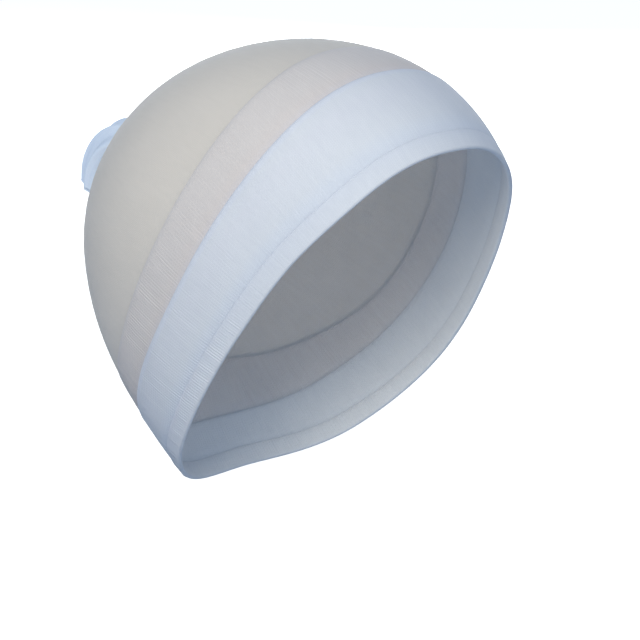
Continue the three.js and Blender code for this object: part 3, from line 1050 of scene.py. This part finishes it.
def way_to(azimuth, elevation):
    """Unit vector (sin a cos e, -cos a cos e, sin e), where azimuth 0 is straight in front."""
    azimuth, elevation = np.radians([azimuth, elevation])
    return np.array([
        np.sin(azimuth) * np.cos(elevation),
        -np.cos(azimuth) * np.cos(elevation),
        np.sin(elevation),
    ])


def camera_axes():
    """Unit vectors back, right and up of a level camera at the azimuth and elevation, then rolled."""
    azimuth, roll = np.radians([AZIMUTH, ROLL])
    back = way_to(AZIMUTH, ELEVATION)
    level = np.array([np.cos(azimuth), np.sin(azimuth), 0])
    up = np.cross(back, level)
    return back, np.cos(roll) * level + np.sin(roll) * up, np.cos(roll) * up - np.sin(roll) * level


back, right, up = camera_axes()
place = FORM_MIDDLE + back * DISTANCE
sideways, downwards = (IMAGE_SIZE / 2 - MIDDLE_PIXEL) / FOCAL_PIXELS
aim = -back + sideways * right - downwards * up
view_back = -aim / np.linalg.norm(aim)
view_right = np.cross(up, view_back)
view_right /= np.linalg.norm(view_right)
view_up = np.cross(view_back, view_right)
camera_data = bpy.data.cameras.new("camera")
camera_data.sensor_width = SENSOR
camera_data.lens = SENSOR * FOCAL_PIXELS / IMAGE_SIZE
camera_data.clip_end = FAR_CLIP
camera = bpy.data.objects.new("camera", camera_data)
turned = Matrix(np.stack([view_right, view_up, view_back], axis=1).tolist()).to_4x4()
camera.matrix_world = Matrix.Translation(Vector(place * MM)) @ turned
bpy.context.collection.objects.link(camera)
bpy.context.scene.camera = camera
bpy.context.scene.view_settings.view_transform = "Standard"
print("lens: %.1f mm" % camera_data.lens)

# %% [markdown]
# ## Floor
# The floor is a large pale sheet, well below the cap. A white catalogue backdrop is lit on its own, so
# the floor glows a little. It is hidden from the light that bounces off the cap, because its white
# would light the cap from below.

# %% Floor
FLOOR_DROP = 90  # how far the floor lies below the lowest point of the cap
FLOOR_HALF = 8000
FLOOR_GLOW = (0.79, 0.76, 0.7, 1)
floor_level = cad_box[0].z / MM - FLOOR_DROP
corners = np.array([(-1, -1, 0), (1, -1, 0), (1, 1, 0), (-1, 1, 0)]) * FLOOR_HALF + (0, 0, floor_level)
floor_mesh = bpy.data.meshes.new("floor")
floor_mesh.from_pydata((corners * MM).tolist(), [], [(0, 1, 2, 3)])
floor = bpy.data.objects.new("floor", floor_mesh)
floor.visible_diffuse = False
bpy.context.collection.objects.link(floor)


def floor_finish():
    """White studio floor that glows a little, with the faintest unevenness."""
    material, start = new_finish("floor")
    place = start.node("TexCoord", output=3)
    haze = start.node("TexNoise", {}, {"Vector": place, "Scale": 3.0})
    colour = mixed(haze, (0.6, 0.6, 0.6), (0.64, 0.64, 0.64))
    inputs = {"Base Color": colour, "Roughness": 0.9, "Emission Strength": 1.0, "Emission Color": FLOOR_GLOW}
    start.node("OutputMaterial", {}, {"Surface": start.node("BsdfPrincipled", {}, inputs)})
    return material


floor.data.materials.append(floor_finish())
print("floor level: %.0f mm" % floor_level)

# %% [markdown]
# ## Light
# A warm, soft key light high in front and a cool, pale room give the flat light of a catalogue
# picture. Two weaker lights stand behind, for whoever looks from there. The camera sees none of the
# three, and it sees the room as white.

# %% Lights and room
LIGHT_DISTANCE = 1.6  # metres
ROOM_LIGHT = (0.225, 0.325, 0.49)


def soft_light(name, azimuth, elevation, size, watts, colour):
    """Square area light aimed at the middle of the form."""
    away = way_to(azimuth, elevation)
    data = bpy.data.lights.new(name, "AREA")
    data.size = size
    data.energy = watts
    data.color = colour
    light = bpy.data.objects.new(name, data)
    light.location = Vector(FORM_MIDDLE * MM + away * LIGHT_DISTANCE)
    light.rotation_mode = "QUATERNION"
    light.rotation_quaternion = Vector(away).to_track_quat("Z", "Y")
    light.visible_camera = False
    bpy.context.collection.objects.link(light)


soft_light("key", -57, 35, size=0.6, watts=22.5, colour=(1, 0.97, 0.88))
soft_light("back fill", 146, 5, size=0.8, watts=12, colour=(0.88, 0.95, 1))
soft_light("side fill", 118, 2, size=0.8, watts=9, colour=(1, 0.93, 0.8))
world = bpy.data.worlds.new("room")
world.use_nodes = True
world.node_tree.nodes.clear()
room = Wire(world.node_tree)
seen = room.node("LightPath", output="Is Camera Ray")
shade = mixed(seen, ROOM_LIGHT, PLAIN)
room.node("OutputWorld", {}, {"Surface": room.node("Background", {}, {"Color": shade, "Strength": 1.0})})
bpy.context.scene.world = world
print("lights:", [light.name for light in bpy.data.lights])
